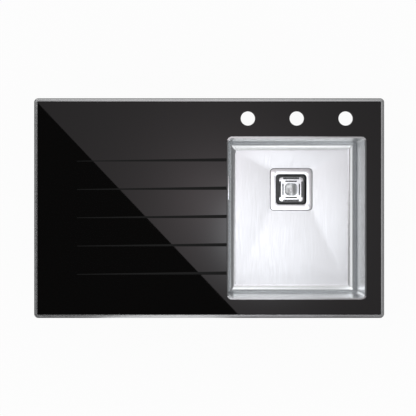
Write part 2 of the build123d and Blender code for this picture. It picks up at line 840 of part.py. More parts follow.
# Union nuts and their rubber rings, one at each end of the pipe
def union_nut(mouth):
    """Nut screwed over a socket, with a lip round the pipe. The plane looks out of the socket."""
    with BuildPart() as nut:
        with BuildSketch(mouth.offset(-nut_grip)):
            RegularPolygon(
                socket_radius + nut_clearance + nut_wall, nut_sides, major_radius=False
            )
            Circle(socket_radius + nut_clearance, mode=Mode.SUBTRACT)
        extrude(amount=nut_grip + pipe_seal_thickness)
        with BuildSketch(mouth.offset(pipe_seal_thickness)):
            RegularPolygon(
                socket_radius + nut_clearance + nut_wall, nut_sides, major_radius=False
            )
            Circle(pipe_radius + pipe_clearance, mode=Mode.SUBTRACT)
        extrude(amount=nut_lip)
    return nut.part


def pipe_ring(mouth):
    """Rubber ring squeezed between the socket's mouth and the nut's lip."""
    with BuildPart() as ring:
        with BuildSketch(mouth):
            Circle(socket_radius)
            Circle(pipe_radius + pipe_clearance, mode=Mode.SUBTRACT)
        extrude(amount=pipe_seal_thickness)
    return ring.part


socket_mouths = {
    "upper": Plane(origin=(pipe_x, waste_y, upper_socket_end), z_dir=(0, 0, -1)),
    "lower": Plane(origin=(inlet_mouth_x, waste_y, inlet_level), z_dir=(-1, 0, 0)),
}
for end, mouth in socket_mouths.items():
    nut = union_nut(mouth)
    nut.label = f"overflow_nut_{end}"
    export_step(nut, f"parts/overflow_nut_{end}.step")
with BuildPart() as overflow_pipe_rings:
    for mouth in socket_mouths.values():
        add(pipe_ring(mouth))
overflow_pipe_rings.part.label = "overflow_pipe_rings"
export_step(overflow_pipe_rings.part, "parts/overflow_pipe_rings.step")

# Fixing clips. Each place gives the screw's axis and the angle of the outward direction.
clip_line_x = recess_length / 2 + tray_sheet - clip_inset
clip_line_y = recess_width / 2 + tray_sheet - clip_inset
clip_left_x = clip_end_inset - sink_length / 2
clip_middle_x = drainer_right - clip_end_inset
clip_places = [
    (clip_left_x, -clip_line_y, -90),
    (clip_middle_x, -clip_line_y, -90),
    (sink_length / 2 - clip_end_inset, -clip_line_y, -90),
    (clip_line_x, 0, 0),
    (bowl_x + tap_hole_pitch / 2, clip_line_y, 90),
    (clip_middle_x, clip_line_y, 90),
    (clip_left_x, clip_line_y, 90),
    (-clip_line_x, 0, 180),
]
claw_tip_level = -worktop_thickest - claw_gap
claw_top_level = claw_tip_level - claw_rise
claw_underside = claw_top_level - claw_sheet
clip_travel = worktop_thickest + claw_gap - worktop_thinnest
clip_screw_top = plate_bottom_level - clip_screw_tip_gap - clip_travel
bracket_underside = plate_bottom_level - bracket_drop


def upright_plane(x, y, angle):
    """Upright plane through a clip's axis: its own X points along the angle and its Y is up."""
    facing = Rotation(0, 0, angle)
    return Plane(
        origin=(x, y, 0),
        x_dir=(facing * Pos(1, 0, 0)).position,
        z_dir=(facing * Pos(0, -1, 0)).position,
    )


def clip_bracket(x, y, angle):
    """Hat-shaped bracket whose feet are welded to the tray, with a threaded collar in its web."""
    with BuildPart() as bracket:
        with BuildSketch(upright_plane(x, y, angle + 90)):
            with Locations((0, plate_bottom_level)):
                Rectangle(
                    bracket_length + 2 * bracket_foot, bracket_sheet, align=(Align.CENTER, Align.MAX)
                )
                Rectangle(bracket_length, bracket_drop, align=(Align.CENTER, Align.MAX))
                Rectangle(
                    bracket_length - 2 * bracket_sheet,
                    bracket_drop - bracket_sheet,
                    align=(Align.CENTER, Align.MAX),
                    mode=Mode.SUBTRACT,
                )
        extrude(amount=bracket_width / 2, both=True)
        with BuildSketch(Plane(origin=(x, y, bracket_underside + bracket_sheet))):
            Circle(bracket_thread_radius)
        extrude(amount=bracket_thread_height)
        with BuildSketch(Plane(origin=(x, y, bracket_underside))):
            Circle(clip_screw_radius + clip_screw_clearance)
        extrude(amount=bracket_sheet + bracket_thread_height, mode=Mode.SUBTRACT)
    return bracket.part


def clip_screw(x, y):
    """Screw with a flat round head below, cross-recessed, and its tip inside the bracket."""
    with BuildPart() as screw:
        with BuildSketch(Plane(origin=(x, y, claw_underside))):
            Circle(clip_screw_radius)
        extrude(amount=clip_screw_top - claw_underside)
        with BuildSketch(Plane(origin=(x, y, claw_underside - clip_screw_head_height))):
            Circle(clip_screw_head_radius)
        extrude(amount=clip_screw_head_height)
        with BuildSketch(Plane(origin=(x, y, claw_underside - clip_screw_head_height))):
            Rectangle(clip_screw_recess_length, clip_screw_recess_width)
            Rectangle(clip_screw_recess_width, clip_screw_recess_length)
        extrude(amount=clip_screw_recess_depth, mode=Mode.SUBTRACT)
    return screw.part


def clip_claw(x, y, angle):
    """Claw on the screw's head: a strip bent up at its far end, with teeth for the worktop."""
    tooth_pitch = claw_width / claw_teeth
    axis = Vector(x, y, 0)
    facing = (Rotation(0, 0, angle) * Pos(1, 0, 0)).position
    with BuildPart() as claw:
        with BuildSketch(upright_plane(x, y, angle)) as profile:
            with BuildLine():
                Polyline(
                    (-claw_heel, claw_underside),
                    (claw_reach, claw_underside),
                    (claw_reach, claw_tip_level),
                    (claw_reach - claw_sheet, claw_tip_level),
                    (claw_reach - claw_sheet, claw_top_level),
                    (-claw_heel, claw_top_level),
                    close=True,
                )
            make_face()
            outer_bend = profile.vertices().sort_by_distance((claw_reach, claw_underside))[0]
            fillet(outer_bend, claw_bend_radius + claw_sheet)
            inner_bend = profile.vertices().sort_by_distance(
                (claw_reach - claw_sheet, claw_top_level)
            )[0]
            fillet(inner_bend, claw_bend_radius)
        extrude(amount=claw_width / 2, both=True)
        upright_edges = claw.edges().filter_by(Axis.Z)
        heel_edges = upright_edges.sort_by(lambda edge: (edge.center() - axis).dot(facing))[:2]
        fillet(heel_edges, claw_corner_radius)
        with BuildSketch(upright_plane(x, y, angle + 90)):
            with Locations((0, claw_tip_level)):
                with GridLocations(tooth_pitch, 1, claw_teeth - 1, 1):
                    Rectangle(
                        claw_tooth_depth * 2**0.5, claw_tooth_depth * 2**0.5, rotation=45
                    )
        extrude(amount=claw_reach, mode=Mode.SUBTRACT)
        with BuildSketch(Plane(origin=(x, y, claw_underside))):
            Circle(clip_screw_radius + claw_bore_clearance)
        extrude(amount=claw_sheet, mode=Mode.SUBTRACT)
    return claw.part


with BuildPart() as clip_brackets:
    for x, y, outward in clip_places:
        add(clip_bracket(x, y, outward))
clip_brackets.part.label = "clip_brackets"
export_step(clip_brackets.part, "parts/clip_brackets.step")

# As delivered each claw is turned in beside the rim, a quarter turn short of pointing outwards
for number, (x, y, outward) in enumerate(clip_places, start=1):
    screw = clip_screw(x, y)
    screw.label = f"clip_screw_{number}"
    export_step(screw, f"parts/clip_screw_{number}.step")
    claw = clip_claw(x, y, outward - 90)
    claw.label = f"clip_claw_{number}"
    export_step(claw, f"parts/clip_claw_{number}.step")

# Hat-shaped stiffening bars welded under the drainer
with BuildPart() as drainer_stiffeners:
    with BuildSketch(Plane.XZ):
        with Locations((drainer_middle, plate_bottom_level)):
            with GridLocations(stiffener_pitch, 1, 2, 1):
                Rectangle(
                    stiffener_width + 2 * stiffener_foot,
                    stiffener_sheet,
                    align=(Align.CENTER, Align.MAX),
                )
                Rectangle(stiffener_width, stiffener_height, align=(Align.CENTER, Align.MAX))
                Rectangle(
                    stiffener_width - 2 * stiffener_sheet,
                    stiffener_height - stiffener_sheet,
                    align=(Align.CENTER, Align.MAX),
                    mode=Mode.SUBTRACT,
                )
    extrude(amount=stiffener_length / 2, both=True)
drainer_stiffeners.part.label = "drainer_stiffeners"
export_step(drainer_stiffeners.part, "parts/drainer_stiffeners.step")

# Sound-deadening pads stuck under the drainer, under the bowl floor and on two of its walls
with BuildPart() as drainer_pad:
    with BuildSketch(Plane(origin=(drainer_middle, 0, plate_bottom_level))):
        RectangleRounded(drainer_pad_length, drainer_pad_width, pad_corner_radius)
    extrude(amount=-pad_thickness)
drainer_pad.part.label = "drainer_pad"
export_step(drainer_pad.part, "parts/drainer_pad.step")

floor_pad_y = bowl_front + bowl_floor_radius + pad_margin + floor_pad_width / 2
floor_pad_underside = floor_level - bowl_sheet - pad_thickness
with BuildPart() as floor_pad:
    with BuildSketch(Plane(origin=(bowl_x, floor_pad_y, floor_pad_underside))):
        RectangleRounded(floor_pad_length, floor_pad_width, pad_corner_radius)
    extrude(amount=floor_edge_level - bowl_sheet - floor_pad_underside)
    add(bowl_outside, mode=Mode.SUBTRACT)
floor_pad.part.label = "floor_pad"
export_step(floor_pad.part, "parts/floor_pad.step")

wall_pad_level = plate_bottom_level - wall_pad_drop - wall_pad_height / 2
front_face = Plane(
    origin=(bowl_x, bowl_front - bowl_sheet, wall_pad_level), x_dir=(1, 0, 0), z_dir=(0, -1, 0)
)
right_face = Plane(
    origin=(bowl_right + bowl_sheet, bowl_y, wall_pad_level), x_dir=(0, 1, 0), z_dir=(1, 0, 0)
)
with BuildPart() as wall_pads:
    for face in (front_face, right_face):
        with BuildSketch(face):
            RectangleRounded(wall_pad_length, wall_pad_height, pad_corner_radius)
        extrude(amount=pad_thickness)
wall_pads.part.label = "wall_pads"
export_step(wall_pads.part, "parts/wall_pads.step")
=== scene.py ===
# %% [markdown]
# # Inset kitchen sink with drainer
# A black glass top sits in a shallow steel tray. A deep steel bowl hangs at the right, with a
# square basket strainer in its waste, and five grooves drain the left side into it. The packed
# model already has every piece at its true size, so this lesson gives it smooth faces, fine
# detail and finishes, and then a studio. Units are metres and +Z is up.

import json
import math

import bmesh
import bpy
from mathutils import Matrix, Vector


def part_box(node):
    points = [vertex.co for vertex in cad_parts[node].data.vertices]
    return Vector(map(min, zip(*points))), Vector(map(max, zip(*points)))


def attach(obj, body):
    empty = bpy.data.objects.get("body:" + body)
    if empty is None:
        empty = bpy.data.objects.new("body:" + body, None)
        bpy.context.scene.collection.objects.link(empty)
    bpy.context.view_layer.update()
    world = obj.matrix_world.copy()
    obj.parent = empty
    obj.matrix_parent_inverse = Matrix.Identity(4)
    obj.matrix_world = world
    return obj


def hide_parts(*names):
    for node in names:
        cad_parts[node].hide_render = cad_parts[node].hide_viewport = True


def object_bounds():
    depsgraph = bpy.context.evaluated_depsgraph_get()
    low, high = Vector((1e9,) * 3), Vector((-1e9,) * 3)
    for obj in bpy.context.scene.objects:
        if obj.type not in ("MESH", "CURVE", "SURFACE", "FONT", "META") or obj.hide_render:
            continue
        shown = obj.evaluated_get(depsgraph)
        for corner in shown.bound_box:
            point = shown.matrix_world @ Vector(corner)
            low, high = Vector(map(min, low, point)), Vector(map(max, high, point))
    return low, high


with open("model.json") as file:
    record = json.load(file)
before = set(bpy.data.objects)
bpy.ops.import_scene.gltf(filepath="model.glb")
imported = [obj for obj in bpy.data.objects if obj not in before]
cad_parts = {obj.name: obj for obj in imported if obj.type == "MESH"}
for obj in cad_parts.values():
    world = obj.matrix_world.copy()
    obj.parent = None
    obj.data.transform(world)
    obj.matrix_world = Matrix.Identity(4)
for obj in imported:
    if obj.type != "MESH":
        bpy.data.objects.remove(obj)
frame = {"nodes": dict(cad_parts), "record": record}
nodes = frame["nodes"]
record = frame["record"]
body_of_node = {
    node: body for body, members in record["behaviour"]["bodies"].items() for node in members
}
cad_low, cad_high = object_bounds()
print("CAD box", [round(v, 4) for v in cad_low], [round(v, 4) for v in cad_high])
mm = 0.001

# %% [markdown]
# ## Smooth pressings and mouldings
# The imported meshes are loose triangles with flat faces. Pressed steel and moulded plastic have
# soft bends that reflect in one sweep, so each rounded piece is copied, its corners are merged,
# and its faces are shaded smooth except across real edges. A subdivision surface would round the
# true edges too, so it isn't used.

# %% Helpers for a new piece and for a smooth copy
weld_distance = 0.002 * mm
speck_size = 0.001 * mm
sharp_bend = math.radians(28)


def add_piece(name, mesh, node):
    """New object for a mesh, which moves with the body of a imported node."""
    piece = bpy.data.objects.new(name, mesh)
    bpy.context.scene.collection.objects.link(piece)
    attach(piece, body_of_node[node])
    return piece


def smooth_copy(node):
    """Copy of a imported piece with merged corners, smooth except across sharp bends."""
    mesh = nodes[node].data.copy()
    mesh.name = node + "_smooth"
    form = bmesh.new()
    form.from_mesh(mesh)
    bmesh.ops.remove_doubles(form, verts=form.verts, dist=weld_distance)
    bmesh.ops.dissolve_degenerate(form, edges=form.edges, dist=speck_size)
    for face in form.faces:
        face.smooth = True
    for edge in form.edges:
        edge.smooth = edge.calc_face_angle(0.0) < sharp_bend
    form.to_mesh(mesh)
    form.free()
    piece = add_piece(node + "_smooth", mesh, node)
    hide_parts(node)
    return piece


# %% Smooth copies of the rounded pieces
rounded_nodes = [
    "steel_tray",
    "bowl",
    "waste_cup",
    "strainer_plate",
    "strainer_knob",
    "strainer_stem",
    "waste_body",
    "waste_screw",
    "overflow_cover",
    "overflow_housing",
    "overflow_screw",
    "overflow_pipe",
    "clip_brackets",
    "floor_pad",
]
clip_screws = [name for name in nodes if name.startswith("clip_screw")]
rounded_nodes += [name for name in nodes if name.startswith(("clip_screw", "clip_claw"))]
smooth_pieces = {name: smooth_copy(name) for name in rounded_nodes}
print(len(smooth_pieces), "smooth pieces")

# %% [markdown]
# ## Soft creases in the bowl's floor
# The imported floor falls 2.5 mm to the recess of the waste in plain facets that meet in sharp
# creases. A press leaves soft ones, where one fall runs into the next over some 80 mm. A bevel
# on each crease would need clean corners at both ends, so the floor is cut into a grid of 8 mm
# instead, and its points then settle between their neighbours.

# %% Helpers that pick and cut the faces of a form
cut_tolerance = 0.01 * mm


def faces_between(form, low, high, least_rise):
    """Faces of a form whose normal rises enough, with their middle between two levels."""
    return [
        face
        for face in form.faces
        if face.normal.z > least_rise and low < face.calc_center_median().z < high
    ]


def edges_and_corners(faces):
    """Edges and corners of some faces, each of them once and in a fixed order."""
    edges = list(dict.fromkeys(edge for face in faces for edge in face.edges))
    corners = list(dict.fromkeys(corner for face in faces for corner in face.verts))
    return edges, corners


def cut_faces(form, faces, cuts):
    """Cuts some faces of a form along planes and leaves the others whole."""
    edges, corners = edges_and_corners(faces)
    cut = [*corners, *edges, *faces]
    for place, way in cuts:
        cut = bmesh.ops.bisect_plane(
            form, geom=cut, plane_co=place, plane_no=way, dist=cut_tolerance
        )["geom"]


# %% Cut the floor into a grid
flange_drop = 0.6 * mm
floor_fall = 2.5 * mm
floor_rise = 0.99
flat_bend = math.radians(0.05)
grid_cell = 8 * mm
recess_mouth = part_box("waste_cup")[1].z + flange_drop
floor_edge = recess_mouth + floor_fall
floor_range = (recess_mouth - cut_tolerance, floor_edge + cut_tolerance, floor_rise)
bowl_low, bowl_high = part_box("bowl")

bowl_form = bmesh.new()
bowl_form.from_mesh(smooth_pieces["bowl"].data)
edges, corners = edges_and_corners(faces_between(bowl_form, *floor_range))
bmesh.ops.dissolve_limit(bowl_form, angle_limit=flat_bend, verts=corners, edges=edges)
grid_cuts = [
    (bowl_low + way * grid_cell * (count + 0.5), way)
    for axis, way in enumerate((Vector((1, 0, 0)), Vector((0, 1, 0))))
    for count in range(int((bowl_high[axis] - bowl_low[axis]) / grid_cell))
]
cut_faces(bowl_form, faces_between(bowl_form, *floor_range), grid_cuts)
falls = set(faces_between(bowl_form, *floor_range))
print(len(falls), "faces in the bowl's floor")

# %% [markdown]
# The smoothing operator counts all neighbours alike, and where an old crease brings one of them
# very near, it would leave a dent. So each point moves to a mean height in which a near
# neighbour counts for more than a far one, and 60 rounds spread the bend over some 80 mm.

# %% Let the floor settle
settling_rounds = 60
inner = [corner for corner in bowl_form.verts if falls.issuperset(corner.link_faces)]


def settled_height(corner):
    """Mean height of the corners around one, weighed by how near they are."""
    pulls = [1 / edge.calc_length() for edge in corner.link_edges]
    heights = [edge.other_vert(corner).co.z for edge in corner.link_edges]
    return sum(height * pull for height, pull in zip(heights, pulls)) / sum(pulls)


for _ in range(settling_rounds):
    heights = [settled_height(corner) for corner in inner]
    for corner, height in zip(inner, heights):
        corner.co.z = height
for face in falls:
    face.smooth = True
bowl_form.to_mesh(smooth_pieces["bowl"].data)
bowl_form.free()
print(len(inner), "points settled")

# %% [markdown]
# ## Screw threads
# The outlet has the pipe thread of every sink waste, 2.309 mm from turn to turn and 1.48 mm deep,
# and the clip screws are M5, 0.8 mm from turn to turn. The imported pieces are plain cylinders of
# the outside diameter. Their shanks shrink to the root of the thread here, and a small profile
# spun with a rise at each step makes the ridge, with its crest at the true outside diameter.
# A screw modifier would do the same, but the operator leaves a plain mesh at once.

# %% Helper for a thread
half_root, half_crest = 0.44, 0.1  # half the ridge's width at its two ends, in turns
sunk_depth = 0.1 * mm
shank_below, shank_above = 2 * mm, 5 * mm
shank_tolerance = 0.02 * mm


def add_thread(node, axis, crest, low, high, depth, pitch, steps):
    """Shrinks a smooth piece's shank to the thread's root and winds a ridge round it."""
    root = crest - depth
    for corner in smooth_pieces[node].data.vertices:
        away = Vector((corner.co.x - axis[0], corner.co.y - axis[1]))
        on_shank = abs(away.length - crest) < shank_tolerance
        if on_shank and low - shank_below < corner.co.z < high + shank_above:
            corner.co.x = axis[0] + away.x * root / crest
            corner.co.y = axis[1] + away.y * root / crest
    sunk = root - sunk_depth
    flank = ((sunk, -half_root), (crest, -half_crest), (crest, half_crest), (sunk, half_root))
    form = bmesh.new()
    profile = [
        form.verts.new((axis[0] + radius, axis[1], low + rise * pitch)) for radius, rise in flank
    ]
    start = form.faces.new(profile)
    turns = int((high - low) / pitch)
    bmesh.ops.spin(
        form,
        geom=profile + start.edges[:] + [start],
        cent=(*axis, low),
        axis=(0, 0, 1),
        dvec=(0, 0, pitch / steps),
        angle=turns * 2 * math.pi,
        steps=turns * steps,
        use_merge=False,
    )
    bmesh.ops.recalc_face_normals(form, faces=form.faces)
    mesh = bpy.data.meshes.new(node + "_thread")
    form.to_mesh(mesh)
    form.free()
    return add_piece(node + "_thread", mesh, node)


# %% Thread of the outlet
pipe_thread = {"depth": 1.48 * mm, "pitch": 2.309 * mm, "steps": 32}
bare_end, threaded_end = 1.5 * mm, 21 * mm
outlet = next(mount for mount in record["mounts"] if mount["name"] == "waste_outlet")
outlet_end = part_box("waste_body")[0].z
thread_pieces = {
    "waste_body": add_thread(
        "waste_body",
        outlet["pos_m"][:2],
        outlet["dims"]["r_mm"] * mm,
        outlet_end + bare_end,
        outlet_end + threaded_end,
        **pipe_thread,
    )
}
print("faces of the outlet's thread:", len(thread_pieces["waste_body"].data.polygons))

# %% Threads of the clip screws
screw_thread = {"depth": 0.49 * mm, "pitch": 0.8 * mm, "steps": 12}
screw_radius = 2.5 * mm
screw_head = 4.2 * mm
screw_tip = 0.5 * mm
for name in clip_screws:
    screw_low, screw_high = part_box(name)
    axis = ((screw_low + screw_high) / 2)[:2]
    thread_pieces[name] = add_thread(
        name, axis, screw_radius, screw_low.z + screw_head, screw_high.z - screw_tip, **screw_thread
    )
print(len(clip_screws), "threaded clip screws")

# %% [markdown]
# ## Colours and nodes
# Finishes are written as the colour a screen shows and turned to linear light by one function.
# One function adds a node and fills its sockets, so every material reads from top to bottom.

# %% Helpers for finishes


def linear(hex_colour):
    """Linear colour of a screen colour such as #c8c8c4."""
    values = [int(hex_colour[i : i + 2], 16) / 255 for i in (1, 3, 5)]
    light = [v / 12.92 if v <= 0.04045 else ((v + 0.055) / 1.055) ** 2.4 for v in values]
    return (*light, 1.0)


def add_node(tree, kind, inputs=None, **settings):
    """Adds a node, sets its properties, then fills its inputs with values or links."""
    node = tree.nodes.new(kind)
    for name, value in settings.items():
        setattr(node, name, value)
    for socket, value in (inputs or {}).items():
        if isinstance(value, bpy.types.NodeSocket):
            tree.links.new(value, node.inputs[socket])
        else:
            node.inputs[socket].default_value = value
    return node


def new_finish(name):
    """An empty node material and its tree."""
    finish = bpy.data.materials.new(name)
    finish.use_nodes = True
    finish.node_tree.nodes.clear()
    return finish, finish.node_tree


# %% [markdown]
# ## Satin-brushed stainless steel
# The tray and the bowl are 304 sheet with a satin belt finish: scratches about 0.2 mm wide and
# some 40 mm long, all one way. They are too fine to show here, so they are drawn 1.2 mm wide.
# They catch the light as a slight change of roughness and a very shallow bump. The same sheet
# without its satin is the dull grey that leaves the rolling mill. That grey is also painted
# shade in the sump under the strainer and on two ledges beside the bowl.

# %% Satin and mill-finish steel
scratch_width = 1.2 * mm
scratch_length = 45 * mm
scratch_gloss = 0.02


def satin_steel(name, along, roughness, hex_colour):
    """Steel sheet with its scratches along X or Y."""
    finish, tree = new_finish(name)
    scale = (1 / scratch_length, 1 / scratch_width, 1 / scratch_width)
    if along == "Y":
        scale = (1 / scratch_width, 1 / scratch_length, 1 / scratch_width)
    place = add_node(tree, "ShaderNodeTexCoord")
    stretch = add_node(
        tree, "ShaderNodeMapping", {"Vector": place.outputs["Object"], "Scale": scale}
    )
    scratches = add_node(
        tree,
        "ShaderNodeTexNoise",
        {"Vector": stretch.outputs["Vector"], "Scale": 1.0, "Detail": 2.0, "Roughness": 0.6},
    )
    gloss = add_node(
        tree,
        "ShaderNodeMapRange",
        {
            "Value": scratches.outputs["Fac"],
            "From Min": 0.3,
            "From Max": 0.7,
            "To Min": roughness - scratch_gloss,
            "To Max": roughness + scratch_gloss,
        },
    )
    relief = add_node(
        tree,
        "ShaderNodeBump",
        {"Height": scratches.outputs["Fac"], "Strength": 0.05, "Distance": 0.02 * mm},
    )
    shader = add_node(
        tree,
        "ShaderNodeBsdfPrincipled",
        {
            "Base Color": linear(hex_colour),
            "Metallic": 1.0,
            "Roughness": gloss.outputs["Result"],
            "Normal": relief.outputs["Normal"],
        },
    )
    add_node(tree, "ShaderNodeOutputMaterial", {"Surface": shader.outputs["BSDF"]})
    return finish


tray_steel = satin_steel("satin_steel_tray", "X", 0.16, "#d8d9da")
# The bowl's sheet is the tray's steel painted lighter, as painted light on its floor and walls.
bowl_steel_painted_lighter = satin_steel("satin_steel_bowl_painted_lighter", "Y", 0.25, "#f3f5f7")
# The mill grey is the real finish underneath and painted shade in the sump and on two ledges.
mill_steel_and_painted_shade = satin_steel("mill_finish_steel_and_painted_shade", "X", 0.48, "#8c8d8e")
print("steel sheet:", tray_steel.name, bowl_steel_painted_lighter.name, mill_steel_and_painted_shade.name)

# %% [markdown]
# ## Plain finishes
# The other finishes have no direction. Each starts from the real material and from how its
# surface was made, with a noise of the true size of its grain that varies the gloss and the
# relief, because a surface that is the same all over looks like paint. A row holds the colour,
# roughness, metallic share, grain in mm, spread of the roughness and relief in mm. What isn't
# metal has its IOR at the end, and metals keep the shader's own.

# %% Rows of the plain finishes
plain_finishes = {
    # Steel from the polishing wheel mirrors with a slight haze, in waves of some 6 mm.
    "polished_steel": ("#dfe1e3", 0.1, 1.0, 6, 0.02, 0.002),
    # The knob is brushed after it is pressed, which spreads and softens what it mirrors.
    "brushed_knob_steel": ("#eceef0", 0.29, 1.0, 6, 0.02, 0.002),
    # Tempered glass with black enamel behind it is a mirror with long, shallow roller waves.
    "black_tempered_glass": ("#050505", 0.012, 0.0, 60, 0.006, 0.0005, 1.52),
    # Silicone drawn with a finger is smooth but not glossy.
    "black_silicone": ("#0c0c0c", 0.45, 0.0, 2, 0.05, 0.02, 1.41),
    # Moulded rubber takes the fine grain of its mould and looks soft.
    "moulded_black_rubber": ("#171717", 0.6, 0.0, 1, 0.08, 0.03, 1.52),
    # Closed-cell foam has pores of some 0.8 mm and no gloss.
    "closed_cell_foam": ("#2a2a2a", 0.85, 0.0, 0.8, 0.08, 0.15, 1.5),
    # Moulded polypropylene has a waxy half-gloss, in black for nuts and in white for pipes.
    "black_polypropylene": ("#111111", 0.4, 0.0, 1.5, 0.06, 0.02, 1.49),
    "white_polypropylene": ("#e6e6e1", 0.38, 0.0, 1.5, 0.06, 0.02, 1.49),
    # Zinc plate on pressed steel is bright, with cloudy patches of some 3 mm.
    "zinc_plated_steel": ("#b4b7ba", 0.3, 1.0, 3, 0.08, 0.01),
    # Bitumen sheet is rolled out warm and keeps a coarse, dead surface.
    "bitumen_damping_sheet": ("#3b3d40", 0.8, 0.0, 1.2, 0.1, 0.12, 1.5),
}

# %% Make the plain finishes


def plain_finish(name, hex_colour, roughness, metallic, grain, spread, relief_depth, ior=None):
    """Finish with a fine grain that varies its gloss and its surface."""
    finish, tree = new_finish(name)
    place = add_node(tree, "ShaderNodeTexCoord")
    noise = add_node(
        tree,
        "ShaderNodeTexNoise",
        {"Vector": place.outputs["Object"], "Scale": 1 / (grain * mm), "Detail": 3.0},
    )
    gloss = add_node(
        tree,
        "ShaderNodeMapRange",
        {
            "Value": noise.outputs["Fac"],
            "From Min": 0.3,
            "From Max": 0.7,
            "To Min": roughness - spread,
            "To Max": roughness + spread,
        },
    )
    relief = add_node(
        tree,
        "ShaderNodeBump",
        {"Height": noise.outputs["Fac"], "Strength": 0.3, "Distance": relief_depth * mm},
    )
    inputs = {
        "Base Color": linear(hex_colour),
        "Metallic": metallic,
        "Roughness": gloss.outputs["Result"],
        "Normal": relief.outputs["Normal"],
    }
    if ior is not None:
        inputs["IOR"] = ior
    shader = add_node(tree, "ShaderNodeBsdfPrincipled", inputs)
    add_node(tree, "ShaderNodeOutputMaterial", {"Surface": shader.outputs["BSDF"]})
    return finish


finishes = {name: plain_finish(name, *row) for name, row in plain_finishes.items()}
print(len(finishes), "plain finishes")

# %% [markdown]
# ## Each piece gets its finish
# The record names one slot of material for every piece of the model, and the finishes follow
# those slots. Two pieces have their own: the bowl, whose satin runs the other way from the
# tray's and whose steel is painted lighter than the tray's as painted light, and the strainer's
# knob, which is softer than the flange round it. A thread takes the finish of the piece that it
# is cut into.

# %% Assign finishes
finish_of_slot = {
    "brushed_steel": tray_steel,
    "polished_steel": finishes["polished_steel"],
    "black_glass": finishes["black_tempered_glass"],
    "black_silicone": finishes["black_silicone"],
    "black_rubber": finishes["moulded_black_rubber"],
    "foam_seal": finishes["closed_cell_foam"],
    "white_polypropylene": finishes["white_polypropylene"],
    "black_polypropylene": finishes["black_polypropylene"],
    "zinc_steel": finishes["zinc_plated_steel"],
    "damping_pad": finishes["bitumen_damping_sheet"],
}
own_finish = {"bowl": bowl_steel_painted_lighter, "strainer_knob": finishes["brushed_knob_steel"]}


def dress(piece, finish):
    """The piece is given one finish all over."""
    piece.data.materials.clear()
    piece.data.materials.append(finish)


for subpart in record["subparts"]:
    name = subpart["node"]
    finish = own_finish.get(name, finish_of_slot[subpart["material_slot"]])
    piece = smooth_pieces.get(name, nodes[name])
    dress(piece, finish)
    if name in thread_pieces:
        dress(thread_pieces[name], finish)

print(len(record["subparts"]), "pieces dressed")

# %% [markdown]
# ## Dull steel underneath, and painted shade in the sump and on two ledges
# The satin belt only runs over what is seen from above. The outside of the bowl and the underside
# of the tray keep the dull grey of the rolled sheet. The same grey is painted shade in the sump
# under the strainer, where it keeps the gap round the strainer dark, and on the sunk plate beside
# the bowl, of which only two ledges of 3.5 mm show and which it darkens. A second material on the
# same mesh does it, and the side that a face is on shows in where its normal points.

# %% Cut the sunk plate beside the bowl
# The cuts mark off the sunk plate beside the bowl, whose two ledges get painted shade.
bowl_heart = (bowl_low + bowl_high) / 2
corner_reach = 15 * mm
beside_reach = (bowl_high.y - bowl_low.y) / 2 - corner_reach
plate_range = (-4 * mm, -2 * mm, 0.9)

tray_form = bmesh.new()
tray_form.from_mesh(smooth_pieces["steel_tray"].data)
plate_cuts = [((0, bowl_heart.y + side * beside_reach, 0), (0, 1, 0)) for side in (-1, 1)]
cut_faces(tray_form, faces_between(tray_form, *plate_range), plate_cuts)
tray_form.to_mesh(smooth_pieces["steel_tray"].data)
tray_form.free()
print("dull ledges", round(2 * beside_reach / mm), "mm long")

# %% Tests for the dull sides and for the painted shade
flange_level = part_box("waste_cup")[1].z
flange_depth = 1.5 * mm
looks_up, looks_down = 0.5, -0.1
below_rim = -2 * mm


def is_bowl_outside(face):
    """The face looks away from the middle of the bowl and isn't part of its flange."""
    looks_out = (bowl_heart - face.center).dot(face.normal) < 0
    return looks_out and not (face.normal.z > looks_up and face.center.z > bowl_heart.z)


def is_tray_underside_or_shaded_ledge(face):
    """The face looks down, or belongs to the sunk plate beside the bowl, whose ledges get painted
    shade.
    """
    beside_bowl = abs(face.center.y - bowl_heart.y) < beside_reach
    return face.normal.z < looks_down or (face.center.z < below_rim and beside_bowl)


def is_shaded_sump(face):
    """The face lies below the polished flange, in the sump that gets painted shade."""
    return face.center.z < flange_level - flange_depth


# %% Give the dull sides their steel, and the sump and ledges their painted shade
# The mill grey on the sump and on the ledges beside the bowl is painted shade.
dull_and_shaded_sides = {"bowl": is_bowl_outside, "steel_tray": is_tray_underside_or_shaded_ledge, "waste_cup": is_shaded_sump}
for name, is_dull_or_shaded in dull_and_shaded_sides.items():
    mesh = smooth_pieces[name].data
    mesh.materials.append(mill_steel_and_painted_shade)
    for face in mesh.polygons:
        face.material_index = int(is_dull_or_shaded(face))
    print(name, sum(face.material_index for face in mesh.polygons), "dull faces")

# %% [markdown]
# ## Camera
# The photograph is taken from straight above. At the rim one pixel covers about 2.455 mm, so the
# picture is 1.021 m wide there, and how far the bowl's walls lean in it puts the camera about
# 3 m up. The lens follows from those two, and the sink stands 2.9 mm right of the middle.

# %% Camera straight above
glass_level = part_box("glass_top")[1].z
camera_height = 3.034
picture_width = 1.0213
picture_middle = (-2.9 * mm, 0.2 * mm)
sensor_width = 36
camera_data = bpy.data.cameras.new("camera")
camera_data.sensor_width = sensor_width
camera_data.lens = sensor_width * camera_height / picture_width
camera = bpy.data.objects.new("camera", camera_data)
camera.location = (*picture_middle, glass_level + camera_height)
bpy.context.scene.collection.objects.link(camera)
bpy.context.scene.camera = camera
print("field of view", round(math.degrees(camera_data.angle), 2))

# %% [markdown]
# ## Floor
# The floor is a pale sheet under the sink. A camera ray sees it almost white, because a part of
# it glows for the rays that look at it straight or in a mirror, and it still takes the object's
# shadow. A floor that only glows would show no shadow at all.

# %% Helpers for the stage


